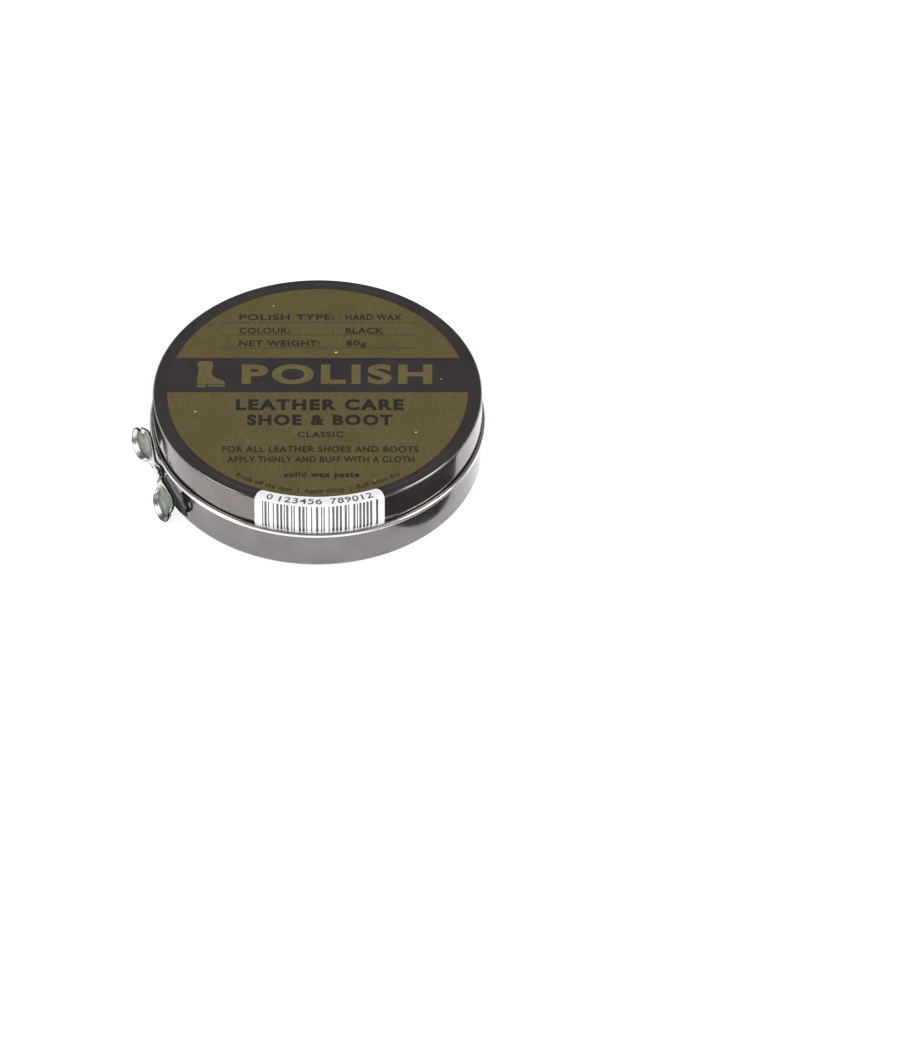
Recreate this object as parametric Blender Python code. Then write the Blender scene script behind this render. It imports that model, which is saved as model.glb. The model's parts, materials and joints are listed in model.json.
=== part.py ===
"""Round shoe polish tin with a slip lid and a butterfly opener key.

Metres, +Z up. The origin is on the tin's axis at its underside. The label's top edge faces +Y,
the sticker faces -Y, and the opener key is riveted to the base a little in front of -X.
"""
import math

import bmesh
import bpy
from mathutils import Matrix, Vector
from mathutils.geometry import delaunay_2d_cdt

MM = 0.001

# Whole tin
SEGMENTS = 72                  # facets round every turned piece
SHEET = 0.30 * MM              # tinplate thickness
GAP = 0.30 * MM                # clearance between neighbouring pieces
HEIGHT = 22.6 * MM             # underside of the base to the crown of the lid
WALL_RADIUS = 44.0 * MM        # outside of the lid's wall

# Lid
PANEL_RADIUS = 41.4 * MM       # flat label panel
PANEL_DEPTH = 0.25 * MM        # panel below the crown of the rim
CROWN_RADIUS = 42.2 * MM       # where the crown starts
LID_CORNER = 0.9 * MM
GROOVE_TOP_Z = 14.0 * MM       # end of the lid's plain wall
GROOVE_Z = 13.6 * MM
GROOVE_RADIUS = 43.65 * MM     # outside of the wall where it is drawn in above the curl
CURL_Z = 12.1 * MM             # centre of the rolled edge
CURL_SECTION = 0.80 * MM       # outer radius of the roll
CURL_END = math.radians(105.0)

# Base
BASE_RADIUS = 43.8 * MM
BASE_CORNER = 1.3 * MM
NECK_RADIUS = 43.0 * MM
SHOULDER_LOW_Z = 10.9 * MM
SHOULDER_HIGH_Z = 11.5 * MM
RIM_Z = 19.6 * MM
RIM_CURL = 0.50 * MM
BEAD_INNER = 29.0 * MM         # stiffening bead pressed into the bottom
BEAD_OUTER = 33.0 * MM
BEAD_HEIGHT = 0.6 * MM

# Flat pressed into the base wall behind the key
FLAT_DISTANCE = 42.0 * MM      # outside of the flat, from the tin's axis
FLAT_HEIGHTS = ((1.2 * MM, 44.0 * MM), (2.4 * MM, FLAT_DISTANCE),
                (11.1 * MM, FLAT_DISTANCE), (11.5 * MM, 43.2 * MM))

# Polish cake
POLISH_Z = 18.7 * MM
POLISH_FLAT = 40.6 * MM        # the cake stops short of the rivet's tail
POLISH_EDGE = 0.5 * MM

# Opener key, in its own frame: a along its length, b across it, w away from the tin's axis
KEY_AZIMUTH = math.radians(202.0)
KEY_TILT = math.radians(30.0)
KEY_Z = 9.2 * MM
KEY_PLATE = 46.6 * MM          # inner face of the plate along its middle line, from the tin's axis
KEY_THICKNESS = 0.6 * MM
KEY_SLOPE = 0.32               # the lower edge leans out by this much of its drop
KEY_RIM = 0.8 * MM             # height of the turned-up edge
KEY_RIM_WIDTH = 1.2 * MM
KEY_WAIST = 0.7 * MM           # the wings' roots come in by this much towards the seat
KEY_BOWL = 0.8 * MM            # the middle of each wing is pressed in by this much
KEY_BOWL_WIDTH = 2.6 * MM
KEY_SEAT = 44.4 * MM           # inner face of the round seat under the rivet's head
KEY_SEAT_INNER = 1.3 * MM
KEY_SEAT_OUTER = 3.0 * MM
KEY_WING_START = 3.0 * MM      # where a wing's dish and rim begin, and how softly
KEY_WING_FADE = 2.5 * MM
KEY_WAIST_START = 2.0 * MM
KEY_WAIST_FADE = 5.0 * MM
KEY_TIP_START = 10.5 * MM      # from here on both edges are turned up, not only the lower one
KEY_TURN_FADE = 2.0 * MM
KEY_GRID = 1.2 * MM
KEY_GRID_CLEARANCE = 0.42 * MM
KEY_OUTLINE_STEPS = 3
KEY_HALF_OUTLINE = (           # a, b of one wing, from the top of the middle round to its foot
    (0.0, 2.0), (1.7, 1.7), (3.2, 1.8), (5.4, 3.3), (8.2, 4.2), (10.9, 3.9), (12.4, 2.8), (11.9, 1.5),
    (13.3, 0.7), (13.4, -1.2), (11.6, -3.1), (8.9, -3.7), (6.4, -3.2), (4.6, -2.0), (3.1, -1.3),
    (1.7, -1.7), (0.0, -2.0))
CAM_LONG = 1.8 * MM
CAM_SHORT = 1.55 * MM
RIVET_HOLE = 1.15 * MM

# Rivet
ROUND_STEPS = 24               # facets round the rivet, its holes and the cam
DRILL_REACH = 4.0 * MM         # a hole's cutter runs on past the sheet by this much
RIVET_SHANK = 0.9 * MM
RIVET_HEAD = 2.0 * MM
RIVET_TAIL = 1.7 * MM
RIVET_TAIL_THICKNESS = 0.5 * MM
RIVET_HEAD_SLOPE = 1.0 * MM    # rise of the head's underside, clear of the key's dished middle
RIVET_HEAD_HEIGHT = 1.5 * MM
RIVET_ROUNDING = 0.25 * MM     # rounding of the head's and the tail's rims
RIVET_DIMPLE = 0.25 * MM       # dent in the middle of the head
RIVET_DIMPLE_RADIUS = 0.8 * MM
RIVET_COLLAR = 0.3 * MM        # flat ring round the shank under the head

# Sticker
STICKER_AZIMUTH = math.radians(-88.9)
STICKER_HALF_ANGLE = math.radians(23.0)
STICKER_STEPS = 12
STICKER_TOP_RADIUS = 40.4 * MM
STICKER_FOOT = (43.9 * MM, 13.2 * MM)    # the foot is tucked into the groove above the curl
STICKER_GAP = 0.10 * MM
STICKER_THICKNESS = 0.10 * MM
STICKER_CORNER = 1.4 * MM      # the two upper corners are clipped by this much


def clear_scene():
    for old in list(bpy.data.objects):
        bpy.data.objects.remove(old, do_unlink=True)


def material(name, colour, roughness, metallic):
    """A Principled material of one colour."""
    made = bpy.data.materials.new(name)
    made.use_nodes = True
    shader = made.node_tree.nodes["Principled BSDF"]
    shader.inputs["Base Color"].default_value = (*colour, 1.0)
    shader.inputs["Roughness"].default_value = roughness
    shader.inputs["Metallic"].default_value = metallic
    return made


def new_object(name, bm, look, smooth_angle=30.0):
    """Turns a bmesh into a named object with outward faces."""
    bmesh.ops.remove_doubles(bm, verts=bm.verts, dist=0.000001)
    bmesh.ops.recalc_face_normals(bm, faces=bm.faces)
    mesh = bpy.data.meshes.new(name)
    bm.to_mesh(mesh)
    bm.free()
    mesh.shade_smooth()
    mesh.set_sharp_from_angle(angle=math.radians(smooth_angle))
    made = bpy.data.objects.new(name, mesh)
    made.data.materials.append(look)
    bpy.context.scene.collection.objects.link(made)
    return made


def arc(centre, radius, start, end, steps):
    """Points of an arc in the r, z plane, both ends included."""
    points = []
    for i in range(steps + 1):
        angle = start + (end - start) * i / steps
        points.append((centre[0] + radius * math.cos(angle), centre[1] + radius * math.sin(angle)))
    return points


def offset_path(path, distance):
    """The path moved sideways by a distance, to the left of its direction."""
    moved = []
    for i, (r, z) in enumerate(path):
        before = Vector(path[max(i - 1, 0)])
        after = Vector(path[min(i + 1, len(path) - 1)])
        here = Vector((r, z))
        into = (here - before).normalized() if i > 0 else (after - here).normalized()
        out = (after - here).normalized() if i < len(path) - 1 else into
        normal = Vector((-into.y - out.y, into.x + out.x)).normalized()
        stretch = 1.0 / max(normal.dot(Vector((-out.y, out.x))), 0.5)
        moved.append((here.x + normal.x * distance * stretch, here.y + normal.y * distance * stretch))
    return moved


def sheet_outline(path, thickness):
    """Closed outline of a sheet whose middle follows the path from the axis outwards."""
    left = offset_path(path, thickness / 2)
    right = offset_path(path, -thickness / 2)
    return [(max(r, 0.0), z) for r, z in left + right[::-1]]


def turned(outline, closed=False):
    """Spins an outline of (r, z) points once round the Z axis."""
    bm = bmesh.new()
    verts = [bm.verts.new((r, 0.0, z)) for r, z in outline]
    pairs = list(zip(verts, verts[1:]))
    if closed:
        pairs.append((verts[-1], verts[0]))
    edges = [bm.edges.new(pair) for pair in pairs]
    bmesh.ops.spin(bm, geom=verts + edges, cent=(0, 0, 0), axis=(0, 0, 1), angle=math.tau,
                   steps=SEGMENTS, use_merge=True)
    return bm


def flat_limit(z):
    """Distance of the pressed flat's outside from the tin's axis at a height."""
    if z <= FLAT_HEIGHTS[0][0] or z >= FLAT_HEIGHTS[-1][0]:
        return BASE_RADIUS * 2
    for (low, near), (high, far) in zip(FLAT_HEIGHTS, FLAT_HEIGHTS[1:]):
        if z <= high:
            return near + (far - near) * (z - low) / (high - low)
    return BASE_RADIUS * 2


def press_flat(bm, depth_at):
    """Pushes the wall's vertices back to the flat; depth_at gives the limit for a vertex."""
    out = Vector((math.cos(KEY_AZIMUTH), math.sin(KEY_AZIMUTH), 0.0))
    for vert in bm.verts:
        extra = vert.co.dot(out) - depth_at(vert.co)
        if extra > 0.0:
            vert.co -= out * extra


def lid_path():
    """Middle of the lid's sheet, from the axis to the free edge of its curl."""
    half = SHEET / 2
    panel_z = HEIGHT - PANEL_DEPTH - half
    crown_z = HEIGHT - half
    wall = WALL_RADIUS - half
    corner = LID_CORNER - half
    groove = GROOVE_RADIUS - half
    roll = CURL_SECTION - half
    path = [(0.0, panel_z), (PANEL_RADIUS, panel_z), (CROWN_RADIUS, crown_z)]
    path += arc((wall - corner, crown_z - corner), corner, math.pi / 2, 0.0, 4)
    path += [(wall, GROOVE_TOP_Z), (groove, GROOVE_Z)]
    path += arc((groove + roll, CURL_Z), roll, -math.pi, CURL_END, 12)
    return path


def base_path():
    """Middle of the base's sheet, from the axis to the free edge of its rim."""
    half = SHEET / 2
    wall = BASE_RADIUS - half
    neck = NECK_RADIUS - half
    corner = BASE_CORNER - half
    roll = RIM_CURL - half
    path = [(0.0, half), (BEAD_INNER, half), (BEAD_INNER + BEAD_HEIGHT, BEAD_HEIGHT + half),
            (BEAD_OUTER - BEAD_HEIGHT, BEAD_HEIGHT + half), (BEAD_OUTER, half)]
    path += arc((wall - corner, half + corner), corner, -math.pi / 2, 0.0, 4)
    path += [(wall, FLAT_HEIGHTS[1][0]), (wall, SHOULDER_LOW_Z), (neck, SHOULDER_HIGH_Z)]
    path += arc((neck - roll, RIM_Z - roll - half), roll, 0.0, math.radians(230.0), 7)
    return path


def make_lid(look):
    return new_object("lid", turned(sheet_outline(lid_path(), SHEET)), look)


def make_base(look):
    """Base tray with the flat pressed in and a hole for the rivet."""
    bm = turned(sheet_outline(base_path(), SHEET))
    centre_line = BASE_RADIUS - SHEET / 2

    def limit(point):
        outside = math.hypot(point.x, point.y) > centre_line
        return flat_limit(point.z) - (0.0 if outside else SHEET)

    press_flat(bm, limit)
    base = new_object("base", bm, look)
    drill(base, RIVET_SHANK + GAP, FLAT_DISTANCE)
    return base


def make_polish(look):
    """Cast cake of polish that fills the base, stopping short of its rim and the rivet."""
    inner_wall = BASE_RADIUS - SHEET - GAP
    inner_neck = NECK_RADIUS - SHEET - 2 * RIM_CURL
    floor = BEAD_HEIGHT + SHEET + GAP
    foot = floor + BASE_CORNER
    outline = [(0.0, POLISH_Z), (inner_neck - POLISH_EDGE, POLISH_Z)]
    outline += arc((inner_neck - POLISH_EDGE, POLISH_Z - POLISH_EDGE), POLISH_EDGE, math.radians(60), 0.0, 2)
    outline += [(inner_neck, SHOULDER_HIGH_Z - GAP), (inner_wall - GAP, SHOULDER_LOW_Z - 2 * GAP),
                (inner_wall - GAP, foot), (inner_wall - BASE_CORNER, floor), (0.0, floor)]
    bm = turned(outline)
    press_flat(bm, lambda point: POLISH_FLAT)
    return new_object("polish", bm, look)


def key_matrix():
    """Places the key's own frame: a along its length, b across, w along the rivet's axis."""
    out = Vector((math.cos(KEY_AZIMUTH), math.sin(KEY_AZIMUTH), 0.0))
    side = Vector((-math.sin(KEY_AZIMUTH), math.cos(KEY_AZIMUTH), 0.0))
    up = Vector((0.0, 0.0, 1.0))
    along = side * math.cos(KEY_TILT) - up * math.sin(KEY_TILT)
    across = out.cross(along)
    turn = Matrix((along, across, out)).transposed().to_4x4()
    return Matrix.Translation(up * KEY_Z) @ turn


def smooth_step(x):
    x = min(max(x, 0.0), 1.0)
    return x * x * (3.0 - 2.0 * x)


def closed_curve(points, steps):
    """Smooth closed curve through the points, with a few steps between neighbours."""
    count = len(points)
    curve = []
    for i in range(count):
        p0, p1, p2, p3 = (Vector(points[(i + k - 1) % count]) for k in range(4))
        for j in range(steps):
            t = j / steps
            curve.append(0.5 * (2 * p1 + (p2 - p0) * t + (2 * p0 - 5 * p1 + 4 * p2 - p3) * t * t
                                + (3 * p1 - p0 - 3 * p2 + p3) * t ** 3))
    return curve


def key_outline():
    """Outline of both wings, from the half outline and its mirror image."""
    half = [(a * MM, b * MM) for a, b in KEY_HALF_OUTLINE]
    mirrored = [(-a, b) for a, b in half[-2:0:-1]]
    return closed_curve(half + mirrored, KEY_OUTLINE_STEPS)


def edge_distance(point, outline):
    """Distance from a point to the nearest side of the outline."""
    best = 1.0
    for start, end in zip(outline, outline[1:] + outline[:1]):
        side = end - start
        share = min(max((point - start).dot(side) / side.length_squared, 0.0), 1.0)
        best = min(best, (start + side * share - point).length)
    return best


def key_height(point, outline):
    """Height of the key's inner face over the plane through its middle line."""
    a, b = point
    edge = edge_distance(point, outline)
    lower_edge = smooth_step(0.5 - b / KEY_TURN_FADE)
    tip = smooth_step((abs(a) - KEY_TIP_START) / KEY_TURN_FADE)
    turned_up = smooth_step(1.0 - edge / KEY_RIM_WIDTH) * max(lower_edge, tip)
    wing = smooth_step((abs(a) - KEY_WING_START) / KEY_WING_FADE)
    height = -KEY_SLOPE * b + KEY_RIM * turned_up * wing
    height -= KEY_BOWL * smooth_step(edge / KEY_BOWL_WIDTH) * wing
    height -= KEY_WAIST * (1.0 - smooth_step((abs(a) - KEY_WAIST_START) / KEY_WAIST_FADE))
    seat = 1.0 - smooth_step((math.hypot(a, b) - KEY_SEAT_INNER) / (KEY_SEAT_OUTER - KEY_SEAT_INNER))
    return height + (KEY_SEAT - KEY_PLATE - height) * seat


def key_grid_points(outline):
    """Points inside the outline: a square grid, and rings round the middle."""
    points = []
    reach = math.ceil(max(p.x for p in outline) / KEY_GRID)
    for i in range(-reach, reach + 1):
        for j in range(-reach, reach + 1):
            point = Vector((i * KEY_GRID, j * KEY_GRID))
            if point.length > KEY_SEAT_OUTER:
                points.append(point)
    for radius in (KEY_SEAT_INNER, (KEY_SEAT_INNER + KEY_SEAT_OUTER) / 2):
        for i in range(ROUND_STEPS):
            angle = math.tau * i / ROUND_STEPS
            points.append(Vector((radius * math.cos(angle), radius * math.sin(angle))))
    return [p for p in points if inside(p, outline) and edge_distance(p, outline) > KEY_GRID_CLEARANCE]


def inside(point, outline):
    """True where a point lies inside a closed outline."""
    hit = False
    for start, end in zip(outline, outline[1:] + outline[:1]):
        if (start.y > point.y) != (end.y > point.y):
            cross = start.x + (point.y - start.y) * (end.x - start.x) / (end.y - start.y)
            hit = hit != (point.x < cross)
    return hit


def key_plate():
    """Pressed plate of the key: two faces that follow its height, joined round the edge."""
    outline = key_outline()
    count = len(outline)
    loop = [(i, (i + 1) % count) for i in range(count)]
    flat, _, faces, _, _, _ = delaunay_2d_cdt(outline + key_grid_points(outline), loop, [], 1, 1e-7)
    bm = bmesh.new()
    inner = []
    outer = []
    for point in flat:
        low = KEY_PLATE + key_height(point, outline)
        inner.append(bm.verts.new((point.x, point.y, low)))
        outer.append(bm.verts.new((point.x, point.y, low + KEY_THICKNESS)))
    for face in faces:
        bm.faces.new([outer[i] for i in face])
        bm.faces.new([inner[i] for i in reversed(face)])
    for edge in [e for e in bm.edges if e.is_boundary and e.verts[0] in set(inner)]:
        first, second = (inner.index(v) for v in edge.verts)
        bm.faces.new((inner[first], inner[second], outer[second], outer[first]))
    return bm


def oval_prism(radii, low, high):
    """Upright oval prism along w, in the key's own frame."""
    bm = bmesh.new()
    rings = []
    for w in (low, high):
        ring = []
        for i in range(ROUND_STEPS):
            angle = math.tau * i / ROUND_STEPS
            ring.append(bm.verts.new((radii[0] * math.cos(angle), radii[1] * math.sin(angle), w)))
        rings.append(ring)
    bm.faces.new(rings[0][::-1])
    bm.faces.new(rings[1])
    for i in range(ROUND_STEPS):
        j = (i + 1) % ROUND_STEPS
        bm.faces.new((rings[0][i], rings[0][j], rings[1][j], rings[1][i]))
    return bm


def boolean(target, tool, operation):
    """Applies a Boolean as a modifier whose tool is a hidden guide."""
    tool.hide_render = True
    tool.display_type = "WIRE"
    cut = target.modifiers.new(operation.lower(), "BOOLEAN")
    cut.operation = operation
    cut.solver = "EXACT"
    cut.object = tool


def drill(target, radius, face):
    """Cuts a round hole along the rivet's axis through the sheet at a distance from the tin's axis."""
    bm = oval_prism((radius, radius), face - DRILL_REACH, face + DRILL_REACH)
    bm.transform(key_matrix())
    boolean(target, new_object(target.name + "_hole_cutter", bm, target.data.materials[0]), "DIFFERENCE")


def make_key(look):
    """Key with its origin on the rivet's axis: plate, cam behind its middle, and rivet hole."""
    plate = key_plate()
    plate.transform(key_matrix())
    key = new_object("turn_key", plate, look)
    cam = oval_prism((CAM_LONG, CAM_SHORT), FLAT_DISTANCE + GAP, KEY_SEAT + KEY_THICKNESS / 2)
    cam.transform(key_matrix())
    boolean(key, new_object("turn_key_cam", cam, look), "UNION")
    drill(key, RIVET_HOLE, KEY_SEAT)
    pivot = key_matrix() @ Vector((0.0, 0.0, KEY_PLATE))
    key.data.transform(Matrix.Translation(-pivot))
    key.location = pivot
    return key


def make_rivet(look):
    """Shouldered rivet: domed head outside the key, shank, and a clinched tail inside the wall."""
    head_low = KEY_SEAT + KEY_THICKNESS + GAP / 2
    tail_high = FLAT_DISTANCE - SHEET - GAP
    head_high = head_low + RIVET_HEAD_HEIGHT
    tail_low = tail_high - RIVET_TAIL_THICKNESS
    outline = [(0.0, tail_low), (RIVET_TAIL - RIVET_ROUNDING, tail_low),
               (RIVET_TAIL, tail_low + RIVET_ROUNDING), (RIVET_TAIL, tail_high), (RIVET_SHANK, tail_high),
               (RIVET_SHANK, head_low), (RIVET_SHANK + RIVET_COLLAR, head_low),
               (RIVET_HEAD, head_low + RIVET_HEAD_SLOPE),
               (RIVET_HEAD - RIVET_ROUNDING, head_high - RIVET_ROUNDING),
               (RIVET_HEAD - 3 * RIVET_ROUNDING, head_high), (RIVET_DIMPLE_RADIUS, head_high),
               (0.0, head_high - RIVET_DIMPLE)]
    bm = bmesh.new()
    verts = [bm.verts.new((r, 0.0, w)) for r, w in outline]
    edges = [bm.edges.new(pair) for pair in zip(verts, verts[1:])]
    bmesh.ops.spin(bm, geom=verts + edges, cent=(0, 0, 0), axis=(0, 0, 1), angle=math.tau,
                   steps=ROUND_STEPS, use_merge=True)
    bm.transform(key_matrix())
    return new_object("key_rivet", bm, look)


def sticker_path():
    """The lid's outer surface under the sticker, from the flap's upper edge to the foot in the groove."""
    panel_z = HEIGHT - PANEL_DEPTH
    path = [(STICKER_TOP_RADIUS, panel_z), (PANEL_RADIUS, panel_z), (CROWN_RADIUS, HEIGHT)]
    path += arc((WALL_RADIUS - LID_CORNER, HEIGHT - LID_CORNER), LID_CORNER, math.pi / 2, 0.0, 5)
    path += [(WALL_RADIUS, GROOVE_TOP_Z), STICKER_FOOT]
    return path


def clipped(path, start):
    """The path with everything nearer the tin's axis than start drawn out to start."""
    for (r0, z0), (r1, z1) in zip(path, path[1:]):
        if r0 <= start <= r1:
            height = z0 + (z1 - z0) * (start - r0) / (r1 - r0)
            break
    return [(r, z) if r > start else (start, height) for r, z in path]


def make_sticker(look):
    """Paper bent over the lid's edge, with its two upper corners clipped."""
    inner = offset_path(sticker_path(), STICKER_GAP)
    outer = offset_path(sticker_path(), STICKER_GAP + STICKER_THICKNESS)
    corner_angle = STICKER_CORNER / WALL_RADIUS
    reach = STICKER_HALF_ANGLE - corner_angle
    angles = [-reach + 2 * reach * i / STICKER_STEPS for i in range(STICKER_STEPS + 1)]
    angles = [-STICKER_HALF_ANGLE] + angles + [STICKER_HALF_ANGLE]
    bm = bmesh.new()
    rings = []
    for angle in angles:
        start = STICKER_TOP_RADIUS + (STICKER_CORNER if abs(angle) > reach + corner_angle / 2 else 0.0)
        outline = clipped(outer, start) + clipped(inner, start)[::-1]
        turn = STICKER_AZIMUTH + angle
        rings.append([bm.verts.new((r * math.cos(turn), r * math.sin(turn), z)) for r, z in outline])
    count = len(rings[0])
    for ring, following in zip(rings, rings[1:]):
        for k in range(count):
            j = (k + 1) % count
            bm.faces.new((ring[k], ring[j], following[j], following[k]))
    for ring in (rings[0], rings[-1]):
        for k in range(len(inner) - 1):
            bm.faces.new((ring[k], ring[k + 1], ring[count - 2 - k], ring[count - 1 - k]))
    return new_object("barcode_sticker", bm, look)


def main():
    clear_scene()
    lacquer = material("black_lacquer", (0.04, 0.035, 0.035), 0.22, 0.3)
    base_look = material("base_lacquer", (0.06, 0.05, 0.05), 0.28, 0.3)
    wax = material("polish_wax", (0.012, 0.010, 0.010), 0.25, 0.0)
    zinc = material("zinc_plate", (0.62, 0.65, 0.64), 0.25, 1.0)
    rivet_look = material("rivet_steel", (0.66, 0.68, 0.67), 0.22, 1.0)
    paper = material("sticker_paper", (0.86, 0.86, 0.88), 0.45, 0.0)
    make_lid(lacquer)
    make_base(base_look)
    make_polish(wax)
    make_key(zinc)
    make_rivet(rivet_look)
    make_sticker(paper)


main()
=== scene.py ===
"""Looks of the round shoe polish tin: drawn sheet metal, print, wax, opener key, sticker, light and camera.

Metres, +Z up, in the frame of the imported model. The label's top edge faces +Y, the sticker faces -Y,
and the opener key is riveted to the base a little in front of -X.
"""
import json
import math
import random

import bmesh
import bpy
from mathutils import Matrix, Vector
from mathutils.geometry import delaunay_2d_cdt


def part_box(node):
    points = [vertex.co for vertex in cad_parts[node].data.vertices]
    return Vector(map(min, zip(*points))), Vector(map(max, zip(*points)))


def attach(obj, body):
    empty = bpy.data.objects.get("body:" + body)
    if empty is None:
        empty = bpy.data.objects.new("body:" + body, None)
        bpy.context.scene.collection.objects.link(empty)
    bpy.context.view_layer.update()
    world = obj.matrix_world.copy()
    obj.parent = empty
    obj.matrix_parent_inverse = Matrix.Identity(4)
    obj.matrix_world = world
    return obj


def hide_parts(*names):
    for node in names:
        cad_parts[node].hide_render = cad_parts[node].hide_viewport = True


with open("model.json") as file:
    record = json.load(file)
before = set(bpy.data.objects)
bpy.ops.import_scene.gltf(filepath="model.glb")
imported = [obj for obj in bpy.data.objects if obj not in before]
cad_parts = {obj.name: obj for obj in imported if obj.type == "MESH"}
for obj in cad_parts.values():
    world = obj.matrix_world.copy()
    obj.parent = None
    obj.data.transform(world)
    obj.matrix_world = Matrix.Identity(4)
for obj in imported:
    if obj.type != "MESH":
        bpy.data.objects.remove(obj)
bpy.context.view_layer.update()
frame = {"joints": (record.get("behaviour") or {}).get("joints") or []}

MM = 0.001

lid_low, lid_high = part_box("lid")
base_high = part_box("base")[1]
polish_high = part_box("polish")[1]
key_joint = next(joint for joint in frame["joints"] if joint["name"] == "key_turn")

# Sheet metal
SEGMENTS = 288  # facets round every turned piece
SHEET = 0.30 * MM
GAP = 0.30 * MM
HEIGHT = lid_high.z

# Lid
WALL_RADIUS = lid_high.y - 0.95 * MM
PANEL_RADIUS = WALL_RADIUS - 2.6 * MM
PANEL_Z = HEIGHT - 0.25 * MM  # top of the sunk label panel
CROWN_RADIUS = WALL_RADIUS - 1.8 * MM
LID_CORNER = 0.9 * MM
GROOVE_TOP_Z = 14.0 * MM
GROOVE_Z = 13.6 * MM
GROOVE_RADIUS = WALL_RADIUS - 0.35 * MM
CURL_SECTION = 0.80 * MM
CURL_Z = lid_low.z + CURL_SECTION
CURL_END = math.radians(105.0)

# Base
BASE_RADIUS = base_high.y
BASE_CORNER = 1.3 * MM
NECK_RADIUS = BASE_RADIUS - 0.8 * MM
SHOULDER_LOW_Z = 10.9 * MM
SHOULDER_HIGH_Z = 11.5 * MM
RIM_Z = base_high.z
RIM_CURL = 0.50 * MM
BEAD_INNER = 29.0 * MM
BEAD_OUTER = 33.0 * MM
BEAD_HEIGHT = 0.6 * MM
FLAT_DISTANCE = 42.0 * MM
FLAT_HEIGHTS = ((1.2 * MM, 44.0 * MM), (2.4 * MM, FLAT_DISTANCE),
                (11.1 * MM, FLAT_DISTANCE), (11.5 * MM, 43.2 * MM))
FLAT_SOFTNESS = 0.30 * MM  # how far the flat's two ends are rounded
DENT_AZIMUTH = math.radians(-141.1)  # small dent in the wall beside the key
DENT_Z = 7.0 * MM
DENT_HALF = (1.0 * MM, 1.3 * MM)
DENT_DEPTH = 0.30 * MM
DENT_GLINT = 3.0  # painted highlight: over 1, so that the pale bare colour covers most of the dent, standing in for its bright glint
CORNER_WEAR = 0.12

# Polish
POLISH_DIP = 0.30 * MM  # how far the middle of the cake sinks
POLISH_DIP_START = 12 * MM
POLISH_DIP_WIDTH = 26 * MM
POLISH_CREEP = 0.22 * MM  # how far the cake's edge climbs the wall
POLISH_CREEP_WIDTH = 1.2 * MM
POLISH_SWIRL = 0.035 * MM  # height of the slow waves on top
POLISH_FLAT = 40.6 * MM  # distance of the cake's flat from the tin's axis

# Opener key, in its own frame: a along its length, b across it, w away from the tin's axis
KEY_OUT = Vector(key_joint["axis"])
KEY_Z = key_joint["pos_m"][2]
KEY_TILT = math.radians(30.0)
KEY_PLATE = Vector(key_joint["pos_m"]).xy.length
KEY_THICKNESS = 0.6 * MM
KEY_EDGE = 0.16 * MM  # rounding of the plate's cut edge
KEY_SLOPE = 0.32
KEY_RIM = 0.8 * MM
KEY_RIM_WIDTH = 1.2 * MM
KEY_WAIST = 0.7 * MM
KEY_BOWL = 0.8 * MM
KEY_BOWL_WIDTH = 2.6 * MM
KEY_SEAT = 44.4 * MM
KEY_SEAT_INNER = 1.3 * MM
KEY_SEAT_OUTER = 3.0 * MM
KEY_GRID = 0.40 * MM
KEY_STEPS = 9  # outline points between two neighbours of the half outline
KEY_HALF_OUTLINE = (
    (0.0, 2.0), (1.7, 1.7), (3.2, 1.8), (5.4, 3.3), (8.2, 4.2), (10.9, 3.9), (12.4, 2.8), (11.9, 1.5),
    (13.3, 0.7), (13.4, -1.2), (11.6, -3.1), (8.9, -3.7), (6.4, -3.2), (4.6, -2.0), (3.1, -1.3),
    (1.7, -1.7), (0.0, -2.0))
KEY_RINGS = tuple(share * MM for share in (0.3, 0.45, 0.6, 0.75, 0.9, 1.1, 1.35))  # rows along the edge
CAM_LONG = 1.8 * MM
CAM_SHORT = 1.55 * MM
RIVET_HOLE = 1.15 * MM
RIVET_SHANK = 0.9 * MM
RIVET_HEAD = 2.0 * MM
RIVET_TAIL = 1.7 * MM
RIVET_TAIL_THICKNESS = 0.5 * MM
RIVET_HEAD_SLOPE = 1.0 * MM
RIVET_HEAD_HEIGHT = 1.5 * MM

# Print on the lid; the rows, lines, boot and dust are in plain millimetres
INK = 0.03 * MM
OLIVE_RADIUS = 40.1 * MM
BAND_LOW = -0.1 * MM
BAND_HIGH = 13.25 * MM
RULE_ENDS = (-25.4 * MM, 26.7 * MM)
RULE_HEIGHTS = (27.0 * MM, 22.2 * MM, 17.1 * MM)
RULE_DOT = 0.20 * MM
RULE_PITCH = 0.78 * MM
ROW_HEIGHT = 2.3
ROWS = (("POLISH TYPE:", -21.1, 4.4, "HARD WAX", 7.4, 22.3, 29.05),  # title, its ends, value, its ends, y
        ("COLOUR:", -21.1, -7.6, "BLACK", 7.4, 17.4, 23.85),
        ("NET WEIGHT:", -21.1, 0.6, "80g", 7.6, 12.9, 18.9))
LINES = (("LEATHER CARE", -21.7, 23.0, -4.9, 4.3, 0.045),  # text, its ends, y, height, boldness
         ("SHOE & BOOT", -18.7, 20.1, -10.8, 4.1, 0.045),
         ("CLASSIC", -5.2, 7.0, -16.4, 2.2, 0.02),
         ("FOR ALL LEATHER SHOES AND BOOTS", -25.2, 27.0, -22.0, 2.4, 0.018),
         ("APPLY THINLY AND BUFF WITH A CLOTH", -23.8, 25.8, -25.9, 2.3, 0.018),
         ("solid wax paste", -8.7, 11.3, -32.0, 2.7, 0.035))
CURVED_LINE = "Brush off the dust  |  Apply thinly  |  Buff when dry"
CURVED_RADIUS = 39.3 * MM
CURVED_ENDS = (math.radians(-124.0), math.radians(-55.0))
CURVED_HEIGHT = 2.1 * MM
BOOT_CENTRE = (-28.9, 6.7)
BOOT = ((-3.0, 4.9), (0.7, 4.9), (0.6, 1.0), (1.4, -1.0), (3.6, -2.3), (4.0, -3.5), (0.5, -3.6),
        (-3.0, -3.5), (-3.2, -1.0), (-2.9, 2.0))
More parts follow.
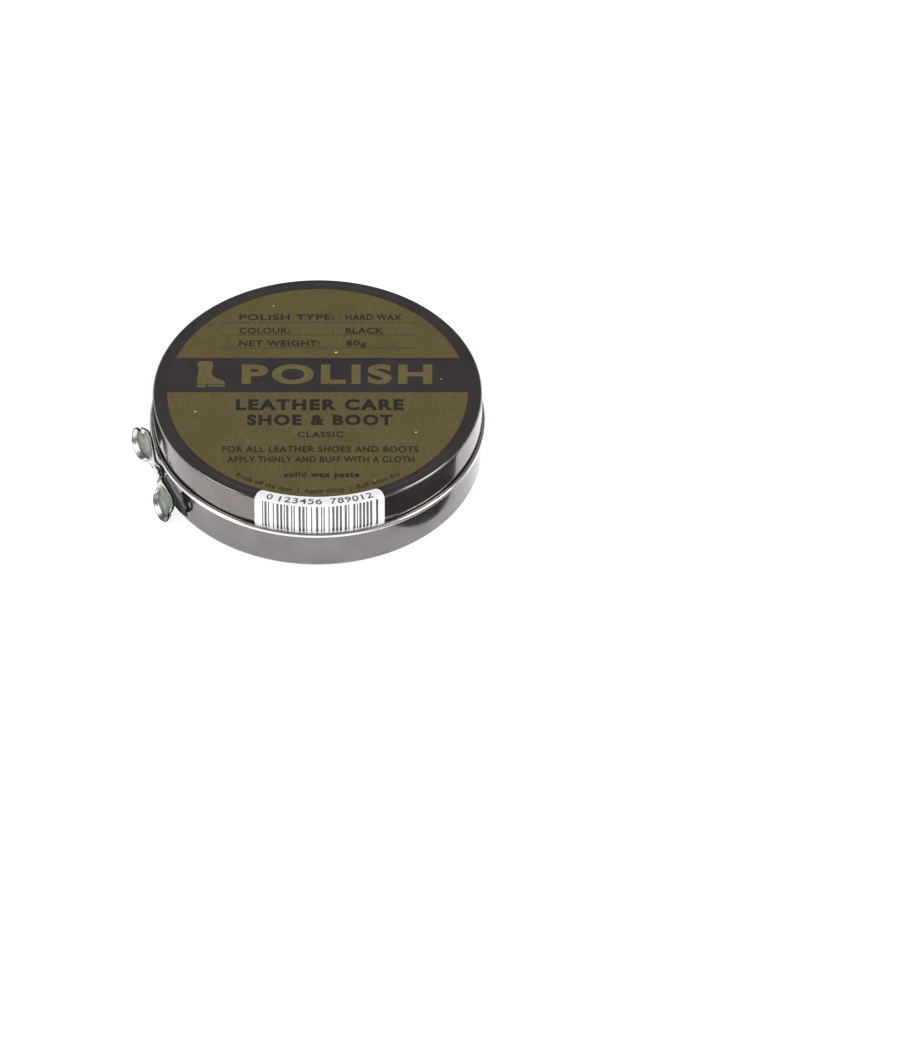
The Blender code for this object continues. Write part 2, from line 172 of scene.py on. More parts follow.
BOOT_SOLES = ((-3.3, -0.9, -4.9), (-0.4, 4.2, -4.6))  # left, right and foot of heel and sole
BOOT_SOLE_TOP = -3.9
DUST = ((4.9, 15.3, 0.34), (-32.5, -7.6, 0.26), (26.3, -15.6, 0.26), (-12.0, 33.5, 0.18),
        (15.5, -34.0, 0.18), (33.0, 5.0, 0.16))  # x, y and half width
FLECK = ((-1.0, -0.4), (0.2, -0.8), (1.0, 0.1), (0.3, 0.7), (-0.7, 0.6))
LETTER_SLICES = 12  # rows that curved letters are cut into, so that they can bend

# Sticker
STICKER_AZIMUTH = math.radians(-88.9)
STICKER_HALF_ANGLE = math.radians(23.0)
STICKER_TOP_RADIUS = 40.4 * MM
STICKER_LIFT = 0.05 * MM
STICKER_THICKNESS = 0.10 * MM
STICKER_CORNER = 1.4 * MM
BAR_TOP_Z = HEIGHT - 0.4 * MM
BAR_MODULE = math.radians(0.43)
BAR_START = math.radians(-20.2)
BAR_MODULES = 95
BAR_WIDTHS = (1, 1, 1, 2, 2, 3)  # drawn from at random
BAR_GAPS = (1, 1, 2, 2, 3)
DIGIT_RADIUS = 43.5 * MM
DIGIT_HEIGHT = 2.35 * MM
DIGIT_GROUPS = (("0", -19.2, -17.0), ("123456", -14.6, 0.9), ("789012", 3.9, 19.3))  # ends in degrees

# Colours
LID_LACQUER, LID_BARE = (0.17, 0.150, 0.145), (0.62, 0.60, 0.57)
BASE_LACQUER, BASE_BARE = (0.19, 0.17, 0.17), (0.66, 0.62, 0.58)
KEY_ZINC = ((0.66, 0.69, 0.68), (0.22, 0.24, 0.19), (0.05, 0.055, 0.05))  # bright, dull, and the painted shade of edges and creases
RIVET_ZINC = ((0.70, 0.75, 0.76), (0.4, 0.42, 0.4), (0.12, 0.13, 0.13))
OLIVE, LETTER_OLIVE = (0.122, 0.094, 0.030), (0.150, 0.117, 0.040)
BLACK_INK = (0.022, 0.019, 0.018)

# Studio
DOME_LIGHT = 0.72  # even light that falls on everything
FLOOR_GLOW = 0.78  # the floor is a light table, so it stays white under the tin's edge
STUDIO_STOPS = ((0.0, 0.9), (0.12, 0.7), (0.30, 0.18), (0.5, 0.14), (0.85, 0.16), (1.0, 0.2))
# Painted shadow and reflection, seen only in the metal: the first card stands in for a dark neighbouring
# tin, the second for the tin's own shadow at its left back, the third for the shadow under the key.
SHADOW_AND_NEIGHBOUR_CARDS = ((79.7, -63.8, 54.0), (-38.0, 42.0, 44.0), (-41.5, -22.5, 5.0))  # x, y and radius in mm

# Camera
CAMERA_ELEVATION = math.radians(44.1)
CAMERA_DISTANCE = 4.0
CAMERA_LENS = 512.0
LOOK_RIGHT = 35.35 * MM
LOOK_DOWN = 19.41 * MM


# ------------ mesh helpers

def new_object(name, data):
    """Object in the scene, with a mesh, curve, light or camera."""
    made = bpy.data.objects.new(name, data)
    bpy.context.scene.collection.objects.link(made)
    return made


def applied(piece):
    """New mesh of an object with its modifiers, or its curve, turned into faces."""
    return bpy.data.meshes.new_from_object(piece.evaluated_get(bpy.context.evaluated_depsgraph_get()))


def make_piece(name, bm, looks, smooth_angle=35.0):
    """Turns a bmesh into a named object with outward faces."""
    bmesh.ops.remove_doubles(bm, verts=bm.verts, dist=0.0000005)
    bmesh.ops.recalc_face_normals(bm, faces=bm.faces)
    mesh = bpy.data.meshes.new(name)
    bm.to_mesh(mesh)
    bm.free()
    for look in looks:
        mesh.materials.append(look)
    mesh.shade_smooth()
    mesh.set_sharp_from_angle(angle=math.radians(smooth_angle))
    return new_object(name, mesh)


def paint(piece, name, value_at):
    """Stores a number at every vertex, for the material to read."""
    layer = piece.data.attributes.new(name, "FLOAT", "POINT")
    for vert in piece.data.vertices:
        layer.data[vert.index].value = value_at(vert.co)


def smooth_step(x):
    """0 below 0, 1 above 1, and a soft S between."""
    x = min(max(x, 0.0), 1.0)
    return x * x * (3.0 - 2.0 * x)


def around(r, angle, z):
    """Point at a radius, an angle round the axis and a height."""
    return Vector((r * math.cos(angle), r * math.sin(angle), z))


def arc(centre, radius, start, end, steps):
    """Points of an arc in the r, z plane, both ends included."""
    points = []
    for i in range(steps + 1):
        angle = start + (end - start) * i / steps
        points.append((centre[0] + radius * math.cos(angle), centre[1] + radius * math.sin(angle)))
    return points


def run(path, r, z, steps):
    """Adds a straight run of points, from the path's end to r, z."""
    start, end = Vector(path[-1]), Vector((r, z))
    path += [tuple(start.lerp(end, (i + 1) / steps)) for i in range(steps)]


def offset_path(path, distance):
    """The path moved sideways by a distance, to the left of its direction."""
    moved = []
    for i, (r, z) in enumerate(path):
        before = Vector(path[max(i - 1, 0)])
        after = Vector(path[min(i + 1, len(path) - 1)])
        here = Vector((r, z))
        into = (here - before).normalized() if i > 0 else (after - here).normalized()
        out = (after - here).normalized() if i < len(path) - 1 else into
        normal = Vector((-into.y - out.y, into.x + out.x)).normalized()
        stretch = 1.0 / max(normal.dot(Vector((-out.y, out.x))), 0.5)
        moved.append((here.x + normal.x * distance * stretch, here.y + normal.y * distance * stretch))
    return moved


def lathe(outline, look_of, segments=SEGMENTS):
    """Spins an outline of (r, z) points that starts and ends on the axis; look_of numbers its sides."""
    bm = bmesh.new()
    rings = []
    for r, z in outline:
        if r < 0.001 * MM:
            rings.append([bm.verts.new((0.0, 0.0, z))])
            continue
        turns = [math.tau * i / segments for i in range(segments)]
        rings.append([bm.verts.new(around(r, t, z)) for t in turns])
    for k, (ring, following) in enumerate(zip(rings, rings[1:])):
        for i in range(segments):
            j = (i + 1) % segments
            corners = [ring[i % len(ring)], ring[j % len(ring)],
                       following[j % len(following)], following[i % len(following)]]
            face = bm.faces.new(list(dict.fromkeys(corners)))
            face.material_index = look_of(k)
    return bm


def sheet_turned(path, left_look, right_look):
    """A sheet of metal whose middle follows the path from the axis outwards, spun round the axis."""
    left = offset_path(path, SHEET / 2)
    right = offset_path(path, -SHEET / 2)
    outline = [(max(r, 0.0), z) for r, z in left + right[::-1]]
    return lathe(outline, lambda k: left_look if k < len(left) else right_look)


def prism(outline, low, high, bm=None):
    """Upright prism over a flat outline, added to a bmesh."""
    bm = bm or bmesh.new()
    bottom = [bm.verts.new((x, y, low)) for x, y in outline]
    top = [bm.verts.new((x, y, high)) for x, y in outline]
    bm.faces.new(bottom[::-1])
    bm.faces.new(top)
    for i in range(len(outline)):
        j = (i + 1) % len(outline)
        bm.faces.new((bottom[i], bottom[j], top[j], top[i]))
    return bm


def oval(radius_a, radius_b, steps, centre=(0.0, 0.0)):
    """Outline of an oval with its long and short half axes along x and y."""
    turns = [math.tau * i / steps for i in range(steps)]
    return [(centre[0] + radius_a * math.cos(t), centre[1] + radius_b * math.sin(t)) for t in turns]


def closed_curve(points, steps):
    """Smooth closed curve through the points, with a few steps between neighbours."""
    count = len(points)
    curve = []
    for i in range(count):
        p0, p1, p2, p3 = (Vector(points[(i + k - 1) % count]) for k in range(4))
        for j in range(steps):
            t = j / steps
            curve.append(0.5 * (2 * p1 + (p2 - p0) * t + (2 * p0 - 5 * p1 + 4 * p2 - p3) * t * t
                                + (3 * p1 - p0 - 3 * p2 + p3) * t ** 3))
    return curve


def cut(target, tool_bm, operation):
    """Applies a Boolean to a piece and removes its tool."""
    tool = make_piece(target.name + "_tool", tool_bm, [])
    change = target.modifiers.new(operation.lower(), "BOOLEAN")
    change.operation = operation
    change.solver = "EXACT"
    change.object = tool
    bpy.context.view_layer.update()
    mesh = applied(target)
    target.modifiers.clear()
    target.data = mesh
    bpy.data.objects.remove(tool, do_unlink=True)
    mesh.shade_smooth()
    mesh.set_sharp_from_angle(angle=math.radians(35.0))


# ------------ materials

def shaded(colour, factor):
    return tuple(part * factor for part in colour)


class Look:
    """A Principled material, with the few texture nodes that the looks of this tin share."""

    def __init__(self, name, colour, roughness, **constants):
        self.material = bpy.data.materials.new(name)
        self.material.use_nodes = True
        self.tree = self.material.node_tree
        self.shader = self.tree.nodes["Principled BSDF"]
        self.shader.inputs["Base Color"].default_value = (*colour, 1.0)
        self.shader.inputs["Roughness"].default_value = roughness
        for socket, value in constants.items():
            self.shader.inputs[socket.replace("_", " ")].default_value = value
        self.place = self.tree.nodes.new("ShaderNodeTexCoord").outputs["Object"]

    def node(self, kind, *linked, **settings):
        """Adds a node; linked are (socket, source) pairs."""
        made = self.tree.nodes.new(kind)
        for name, value in settings.items():
            setattr(made, name, value)
        for socket, source in linked:
            if hasattr(source, "is_linked"):
                self.tree.links.new(source, made.inputs[socket])
            else:
                made.inputs[socket].default_value = source
        return made

    def stretched(self, scale):
        """The object's coordinates, scaled apart along X, Y and Z."""
        return self.node("ShaderNodeMapping", ("Vector", self.place), ("Scale", scale)).outputs[0]

    def noise(self, size, detail=3.0, place=None):
        """Noise from 0 to 1 whose features are about one size across."""
        made = self.node("ShaderNodeTexNoise", ("Vector", place or self.place), ("Scale", 1.0 / size),
                         ("Detail", detail))
        return made.outputs["Fac"]

    def remap(self, value, low, high, to_low=0.0, to_high=1.0):
        made = self.node("ShaderNodeMapRange", ("Value", value), ("From Min", low), ("From Max", high),
                         ("To Min", to_low), ("To Max", to_high))
        return made.outputs[0]

    def drift(self, size, detail, low=0.0, high=1.0):
        """Soft noise that runs from low to high."""
        return self.remap(self.noise(size, detail), 0.3, 0.7, low, high)

    def math(self, operation, first, second):
        return self.node("ShaderNodeMath", (0, first), (1, second), operation=operation).outputs[0]

    def painted(self, name):
        return self.node("ShaderNodeAttribute", attribute_name=name).outputs["Fac"]

    def blend(self, share, first, second):
        """Colour between two colours or colour sockets."""
        made = self.node("ShaderNodeMix", (0, share), data_type="RGBA")
        for index, colour in ((6, first), (7, second)):
            if hasattr(colour, "is_linked"):
                self.tree.links.new(colour, made.inputs[index])
            else:
                made.inputs[index].default_value = (*colour, 1.0)
        return made.outputs[2]

    def feed(self, socket, source):
        self.tree.links.new(source, self.shader.inputs[socket])

    def relief(self, height, depth):
        """Feeds the shader a bump of the given depth in metres."""
        previous = self.shader.inputs["Normal"].links
        made = self.node("ShaderNodeBump", ("Height", height), ("Distance", depth))
        if previous:
            self.tree.links.new(previous[0].from_socket, made.inputs["Normal"])
        self.tree.links.new(made.outputs[0], self.shader.inputs["Normal"])


def lacquer_look(name, colour, worn_colour):
    """Dark stoving lacquer over tinplate: it mirrors like metal, with a clear glossy skin and worn edges;
    the same worn-off colour also paints a pale highlight in the dent beside the key.
    """
    look = Look(name, colour, 0.16, Metallic=0.9, Coat_Weight=0.7, Coat_Roughness=0.04, Coat_IOR=1.5)
    tint = look.blend(look.drift(9 * MM, 4.0), shaded(colour, 0.86), shaded(colour, 1.12))
    chips = look.remap(look.noise(0.5 * MM, 4.0), 0.42, 0.62)
    # The painted attribute holds real wear and the dent's painted highlight.
    wear = look.math("MULTIPLY", look.painted("wear"), chips)
    look.feed("Base Color", look.blend(wear, tint, worn_colour))
    smear = look.remap(look.noise(5 * MM, 5.0), 0.35, 0.75, 0.11, 0.24)
    look.feed("Roughness", look.math("ADD", smear, look.math("MULTIPLY", wear, 0.2)))
    look.feed("Metallic", look.remap(wear, 0.0, 1.0, 0.9, 0.3))
    look.relief(look.noise(0.25 * MM, 2.0), 0.006 * MM)
    look.relief(look.noise(2.2 * MM, 2.0), 0.012 * MM)
    return look.material


def tinplate_look():
    """Bare tinplate with the faint crystal mottle of flow-melted tin."""
    look = Look("tinplate", (0.84, 0.81, 0.78), 0.24, Metallic=1.0)
    crystals = look.node("ShaderNodeTexVoronoi", ("Vector", look.place), ("Scale", 1.0 / (2.5 * MM)))
    mottle = look.node("ShaderNodeRGBToBW", ("Color", crystals.outputs["Color"])).outputs[0]
    look.feed("Base Color", look.blend(mottle, (0.78, 0.75, 0.72), (0.90, 0.87, 0.84)))
    look.feed("Roughness", look.drift(3 * MM, 4.0, 0.16, 0.3))
    look.relief(look.noise(0.3 * MM, 2.0), 0.004 * MM)
    return look.material


def olive_look(name, colour):
    """Olive printing ink with the fine upright streaks of the rolled tinplate under it."""
    look = Look(name, colour, 0.38, Coat_Weight=0.25, Coat_Roughness=0.2)
    streaks = look.noise(1.0, 2.0, look.stretched((1 / (0.28 * MM), 1 / (3.5 * MM), 1.0)))
    cross = look.noise(1.0, 2.0, look.stretched((1 / (4 * MM), 1 / (0.35 * MM), 1.0)))
    clouds = look.noise(11 * MM, 4.0)
    fine = look.noise(0.22 * MM, 2.0)
    mixed = look.math("MULTIPLY", streaks, 0.45)
    for layer, share in ((cross, 0.2), (clouds, 0.2), (fine, 0.25)):
        mixed = look.math("ADD", mixed, look.math("MULTIPLY", layer, share))
    share = look.remap(mixed, 0.4, 0.68)
    look.feed("Base Color", look.blend(share, shaded(colour, 0.78), shaded(colour, 1.2)))
    look.feed("Roughness", look.remap(clouds, 0.3, 0.7, 0.32, 0.46))
    look.relief(fine, 0.004 * MM)
    return look.material


def ink_look(name, colour, roughness):
    """Printed ink, slightly uneven in strength."""
    look = Look(name, colour, roughness, Coat_Weight=0.3, Coat_Roughness=0.15)
    look.feed("Base Color", look.blend(look.drift(0.6 * MM, 3.0), shaded(colour, 0.8), shaded(colour, 1.3)))
    look.feed("Roughness", look.drift(2 * MM, 3.0, roughness - 0.06, roughness + 0.08))
    look.relief(look.noise(0.2 * MM, 2.0), 0.003 * MM)
    return look.material


def wax_look():
    """Hard black wax cast hot: a glossy skin with slow waves, a dull bloom and a few specks."""
    colour = (0.012, 0.010, 0.011)
    look = Look("black_wax", colour, 0.2, Coat_Weight=0.35, Coat_Roughness=0.08)
    bloom = look.remap(look.noise(14 * MM, 5.0), 0.5, 0.75)
    speck = look.remap(look.noise(0.5 * MM, 1.0), 0.74, 0.78)
    bloomed = look.blend(look.math("MULTIPLY", bloom, 0.6), colour, (0.030, 0.028, 0.032))
    look.feed("Base Color", look.blend(speck, bloomed, (0.10, 0.10, 0.10)))
    look.feed("Roughness", look.remap(bloom, 0.0, 1.0, 0.16, 0.34))
    look.relief(look.noise(6 * MM, 3.0), 0.05 * MM)
    look.relief(look.noise(0.5 * MM, 2.0), 0.006 * MM)
    return look.material


def zinc_look(name, bright, dull, dirty):
    """Bright zinc plate: the dished places are greyer and rougher; painted shade darkens the cut edges and
    the crease round each bowl.
    """
    look = Look(name, bright, 0.24, Metallic=1.0)
    dished = look.painted("dished")
    clouds = look.noise(1.6 * MM, 4.0)
    # Greyer in the dished places, in soft patches.
    dish_tone = look.math("MULTIPLY", dished, look.remap(clouds, 0.25, 0.6, 0.7, 1.0))
    # Painted shade along the cut edges and the creases, over the zinc's own colour.
    look.feed("Base Color", look.blend(look.painted("dirt"), look.blend(dish_tone, bright, dull), dirty))
    rough = look.drift(0.9 * MM, 4.0, 0.17, 0.32)
    look.feed("Roughness", look.math("ADD", rough, look.math("MULTIPLY", dished, 0.12)))
    look.relief(look.noise(1.8 * MM, 2.0), 0.012 * MM)
    look.relief(look.noise(0.15 * MM, 2.0), 0.003 * MM)
    return look.material


def bar_ink_look():
    """Ribbon-printed ink, painted grey to stand in for the pale sheen over the bars on the wall, and painted
    black at the foot for the shade where the paper bends into the groove.
    """
    look = Look("sticker_ink_painted_sheen", (0.10, 0.095, 0.10), 0.3, Coat_Weight=0.3, Coat_Roughness=0.15)
    # Painted sheen: the black ink is made grey where it stands on the wall.
    sheen_grey = look.blend(look.drift(0.7 * MM, 3.0), (0.055, 0.052, 0.055), (0.15, 0.14, 0.145))
    look.feed("Base Color", look.blend(look.painted("foot"), sheen_grey, (0.015, 0.014, 0.015)))
    look.relief(look.noise(0.2 * MM, 2.0), 0.003 * MM)
    return look.material


def paper_look():
    """Coated white paper with a faint fibre and a little grime."""
    look = Look("coated_paper", (0.94, 0.94, 0.95), 0.34, Coat_Weight=0.4, Coat_Roughness=0.15)
    grime = look.remap(look.noise(4 * MM, 5.0), 0.55, 0.8)
    look.feed("Base Color", look.blend(grime, (0.94, 0.94, 0.95), (0.85, 0.84, 0.83)))
    look.feed("Roughness", look.drift(2 * MM, 3.0, 0.28, 0.42))
    look.relief(look.noise(0.3 * MM, 4.0), 0.008 * MM)
    look.relief(look.noise(3 * MM, 2.0), 0.05 * MM)
    return look.material


def dust_look():
    look = Look("dust", (0.72, 0.69, 0.60), 0.8)
    look.feed("Base Color", look.blend(look.noise(0.3 * MM, 2.0), (0.62, 0.58, 0.48), (0.82, 0.80, 0.74)))
    return look.material


def floor_look():
    """Light table: pale frosted sheet lit from below, very slightly uneven."""
    look = Look("white_card", (0.58, 0.58, 0.58), 0.7, Emission_Color=(1.0, 1.0, 1.0, 1.0),
                Emission_Strength=FLOOR_GLOW)
    look.feed("Base Color", look.blend(look.noise(0.4, 3.0), (0.57, 0.57, 0.57), (0.59, 0.59, 0.59)))
    return look.material


# ------------ lid and base

def lid_path():
    """Middle of the lid's sheet, from the axis to the free edge of its curl."""
    half = SHEET / 2
    panel_z = PANEL_Z - half
    crown_z = HEIGHT - half
    wall = WALL_RADIUS - half
    corner = LID_CORNER - half
    roll = CURL_SECTION - half
    groove = GROOVE_RADIUS - half
    path = [(0.0, panel_z)]
    run(path, PANEL_RADIUS - 0.3 * MM, panel_z, 12)
    run(path, PANEL_RADIUS, panel_z + 0.03 * MM, 2)
    run(path, CROWN_RADIUS - 0.1 * MM, crown_z - 0.04 * MM, 3)
    run(path, CROWN_RADIUS + 0.15 * MM, crown_z, 2)
    path += arc((wall - corner, crown_z - corner), corner, math.pi / 2, 0.0, 14)
    run(path, wall, GROOVE_TOP_Z + 0.08 * MM, 10)
    run(path, wall - 0.06 * MM, GROOVE_TOP_Z - 0.06 * MM, 2)
    run(path, groove + 0.04 * MM, GROOVE_Z + 0.06 * MM, 3)
    path += arc((groove + roll, CURL_Z), roll, -math.pi, CURL_END, 36)
    return path


def base_path():
    """Middle of the base's sheet, from the axis to the free edge of its rim."""
    half = SHEET / 2
    wall = BASE_RADIUS - half
    neck = NECK_RADIUS - half
    corner = BASE_CORNER - half
    roll = RIM_CURL - half
    bead = BEAD_HEIGHT + half
    path = [(0.0, half)]
    run(path, BEAD_INNER, half, 8)
    path += arc((BEAD_INNER + BEAD_HEIGHT, bead - BEAD_HEIGHT), BEAD_HEIGHT, math.pi, math.pi / 2, 5)[1:]
    run(path, BEAD_OUTER - BEAD_HEIGHT, bead, 4)
    path += arc((BEAD_OUTER - BEAD_HEIGHT, bead - BEAD_HEIGHT), BEAD_HEIGHT, math.pi / 2, 0.0, 5)[1:]
    run(path, wall - corner - 0.1 * MM, half, 6)
    path += arc((wall - corner, half + corner), corner, -math.pi / 2, 0.0, 10)
    run(path, wall, SHOULDER_LOW_Z - 0.1 * MM, 24)
    run(path, wall - 0.1 * MM, SHOULDER_LOW_Z + 0.05 * MM, 2)
    run(path, neck + 0.08 * MM, SHOULDER_HIGH_Z - 0.06 * MM, 3)
    run(path, neck, SHOULDER_HIGH_Z + 0.08 * MM, 2)
    run(path, neck, RIM_Z - roll - half - 0.1 * MM, 8)
    path += arc((neck - roll, RIM_Z - roll - half), roll, 0.0, math.radians(230.0), 16)
    return path


def flat_limit(z):
    """Distance of the pressed flat's outside from the tin's axis at a height."""
    if z <= FLAT_HEIGHTS[0][0] or z >= FLAT_HEIGHTS[-1][0]:
        return BASE_RADIUS * 2
    for (low, near), (high, far) in zip(FLAT_HEIGHTS, FLAT_HEIGHTS[1:]):
        if z <= high:
            share = smooth_step((z - low) / (high - low))
            return near + (far - near) * share
    return BASE_RADIUS * 2


def press_flat(bm, depth_at, softness):
    """Pushes the wall's vertices back to the flat, with its ends rounded off."""
    for vert in bm.verts:
        extra = vert.co.dot(KEY_OUT) - depth_at(vert.co)
        if extra >= softness:
            vert.co -= KEY_OUT * extra
        elif extra > -softness:
            vert.co -= KEY_OUT * (extra + softness) ** 2 / (4.0 * softness)


def make_lid(lacquer, tin):
    """Slip lid, lacquered outside and bare inside, a little worn at its upper corner."""
    lid = make_piece("lid_shell", sheet_turned(lid_path(), 0, 1), [lacquer, tin])

    def wear(point):
        radius = point.xy.length
        corner = WALL_RADIUS - 0.3 * LID_CORNER
        on_corner = point.z > HEIGHT - 0.8 * LID_CORNER and radius > corner
        return CORNER_WEAR if on_corner else 0.0

    paint(lid, "wear", wear)
    return lid


def dent_distance(point):
    """How far a point of the wall is from the middle of the small dent, in dents."""
    away = (math.atan2(point.y, point.x) - DENT_AZIMUTH) * BASE_RADIUS
    return math.hypot(away / DENT_HALF[0], (point.z - DENT_Z) / DENT_HALF[1])


def make_base(lacquer, tin):
    """Base tray with the flat pressed in behind the key and a hole for the rivet."""
    bm = sheet_turned(base_path(), 1, 0)
    centre_line = BASE_RADIUS - SHEET / 2

    def limit(point):
        outside = point.xy.length > centre_line
        return flat_limit(point.z) - (0.0 if outside else SHEET)

    press_flat(bm, limit, FLAT_SOFTNESS)
    for vert in bm.verts:
        if vert.co.xy.length > NECK_RADIUS and dent_distance(vert.co) < 1.0:
            depth = DENT_DEPTH * smooth_step(1.0 - dent_distance(vert.co))
            vert.co -= vert.co.xy.to_3d().normalized() * depth
    base = make_piece("base_shell", bm, [lacquer, tin])
    hole = prism(oval(RIVET_SHANK + GAP, RIVET_SHANK + GAP, 48), FLAT_DISTANCE - 4 * MM,
                 FLAT_DISTANCE + 3 * MM)
    hole.transform(key_matrix())
    cut(base, hole, "DIFFERENCE")

    # Wear on the rim; in the dent the worn-off colour is a painted highlight.
    def wear(point):
        on_dent = 1.0 - dent_distance(point) / 0.75 if point.z < SHOULDER_LOW_Z else 0.0
        on_rim = smooth_step((point.z - RIM_Z + 0.5 * MM) / (0.4 * MM))
        return max(on_rim, DENT_GLINT * smooth_step(2.0 * on_dent))

    paint(base, "wear", wear)
    return base


def make_polish(look):
    """Cast cake of wax: it creeps up the tin's wall at its edge and dips a little in the middle."""
    inner_wall = BASE_RADIUS - SHEET - GAP
    inner_neck = NECK_RADIUS - SHEET - 2 * RIM_CURL
    floor = BEAD_HEIGHT + SHEET + GAP
    top = polish_high.z
    foot = floor + BASE_CORNER
    outline = [(0.0, top - POLISH_DIP)]
    for i in range(1, 41):
        r = (inner_neck - 0.35 * MM) * i / 40
        creep = math.exp(-(inner_neck - r) / POLISH_CREEP_WIDTH)
        sag = POLISH_DIP * (1.0 - smooth_step((r - POLISH_DIP_START) / POLISH_DIP_WIDTH))
        outline.append((r, top - sag - POLISH_CREEP * (1.0 - creep)))
    outline += [(inner_neck, top - 0.35 * MM), (inner_neck, SHOULDER_HIGH_Z - GAP),
                (inner_wall - GAP, SHOULDER_LOW_Z - 2 * GAP), (inner_wall - GAP, foot),
                (inner_wall - BASE_CORNER, floor), (0.0, floor)]
    bm = lathe(outline, lambda k: 0)
    for vert in bm.verts:
        radius = vert.co.xy.length
        if vert.co.z > top - 1.0 * MM and radius < inner_neck - 0.5 * MM:
            turn = math.atan2(vert.co.y, vert.co.x)
            swirl = math.sin(2.0 * turn + radius / (4.2 * MM)) * smooth_step(radius / (9 * MM))
            vert.co.z += POLISH_SWIRL * swirl * smooth_step((inner_neck - radius) / (7 * MM))
    press_flat(bm, lambda point: POLISH_FLAT, 0.1 * MM)
    return make_piece("polish_cake", bm, [look])


# ------------ opener key and rivet

def key_matrix():
    """Places the key's own frame: a along its length, b across, w along the rivet's axis."""
    up = Vector((0.0, 0.0, 1.0))
    side = up.cross(KEY_OUT)
    length = side * math.cos(KEY_TILT) - up * math.sin(KEY_TILT)
    across = KEY_OUT.cross(length)
    turn = Matrix((length, across, KEY_OUT)).transposed().to_4x4()
    return Matrix.Translation(up * KEY_Z) @ turn


def key_outline():
    """Outline of both wings, from the half outline and its mirror image."""
    half = [(a * MM, b * MM) for a, b in KEY_HALF_OUTLINE]
    mirrored = [(-a, b) for a, b in half[-2:0:-1]]
    return closed_curve(half + mirrored, KEY_STEPS)


def inset(outline, distance):
    """The outline moved inwards by a small distance."""
    moved = []
    count = len(outline)
    for i, point in enumerate(outline):
        run = (outline[(i + 1) % count] - outline[i - 1]).normalized()
        moved.append(point + Vector((run.y, -run.x)) * distance)
    return moved


def edge_distance(point, outline):
    """Distance from a point to the nearest side of the outline."""
    best = 1.0
    for start, end in zip(outline, outline[1:] + outline[:1]):
        side = end - start
        share = min(max((point - start).dot(side) / side.length_squared, 0.0), 1.0)
        best = min(best, (start + side * share - point).length)
    return best


def key_height(point, edge):
    """Height of the key's inner face over the plane through its middle line."""
    a, b = point
    lower_edge = smooth_step((1.0 * MM - b) / (2.0 * MM))
    tip = smooth_step((abs(a) - 10.5 * MM) / (2.0 * MM))
    turned_up = smooth_step(1.0 - edge / KEY_RIM_WIDTH) * max(lower_edge, tip)
    wing = smooth_step((abs(a) - 3.0 * MM) / (2.5 * MM))
    height = -KEY_SLOPE * b + KEY_RIM * turned_up * wing
    height -= KEY_BOWL * smooth_step(edge / KEY_BOWL_WIDTH) * wing
    height -= KEY_WAIST * (1.0 - smooth_step((abs(a) - 2.0 * MM) / (5.0 * MM)))
    seat = 1.0 - smooth_step((math.hypot(a, b) - KEY_SEAT_INNER) / (KEY_SEAT_OUTER - KEY_SEAT_INNER))
    return height + (KEY_SEAT - KEY_PLATE - height) * seat


def inside(point, outline):
    """True where a point lies inside a closed outline."""
    hit = False
    for start, end in zip(outline, outline[1:] + outline[:1]):
        if (start.y > point.y) != (end.y > point.y):
            cross = start.x + (point.y - start.y) * (end.x - start.x) / (end.y - start.y)
            hit = hit != (point.x < cross)
    return hit


def key_grid_points(outline):
    """Rows of points along the edge, and a staggered grid inside them."""
    points = []
    for distance in KEY_RINGS:
        ring = inset(outline, distance)
        points += [p for p in ring if inside(p, outline) and edge_distance(p, outline) > 0.97 * distance]
    rows = int(4.4 * MM / KEY_GRID) + 1
    columns = int(13.6 * MM / KEY_GRID) + 1
    for j in range(-rows, rows + 1):
        for i in range(-columns, columns + 1):
            point = Vector(((i + 0.5 * (j % 2)) * KEY_GRID, j * KEY_GRID * 0.87))
            if inside(point, outline) and edge_distance(point, outline) > KEY_RINGS[-1] + 0.4 * KEY_GRID:
                points.append(point)
    return points


def key_plate():
    """Pressed plate of the key: two faces that follow its height, joined by a rounded edge."""
    outline = key_outline()
    rim = inset(outline, KEY_EDGE)
    count = len(rim)
    loop = [(i, (i + 1) % count) for i in range(count)]
    flat, _, faces, _, _, _ = delaunay_2d_cdt(rim + key_grid_points(outline), loop, [], 1, 1e-8)
    bm = bmesh.new()
    inner = []
    outer = []
    for point in flat:
        low = KEY_PLATE + key_height(point, edge_distance(point, outline))
        inner.append(bm.verts.new((point.x, point.y, low)))
        outer.append(bm.verts.new((point.x, point.y, low + KEY_THICKNESS)))
    for face in faces:
        bm.faces.new([outer[i] for i in face])
        bm.faces.new([inner[i] for i in reversed(face)])
    lips = []
    for share in (0.0, 0.5, 1.0):
        lift = KEY_EDGE + share * (KEY_THICKNESS - 2 * KEY_EDGE)
        ring = [bm.verts.new((*p, KEY_PLATE + key_height(p, 0.0) + lift)) for p in outline]
        lips.append(ring)
    rings = [inner[:count]] + lips + [outer[:count]]
    for ring, following in zip(rings, rings[1:]):
        for i in range(count):
            j = (i + 1) % count
            bm.faces.new((ring[i], ring[j], following[j], following[i]))
    return bm


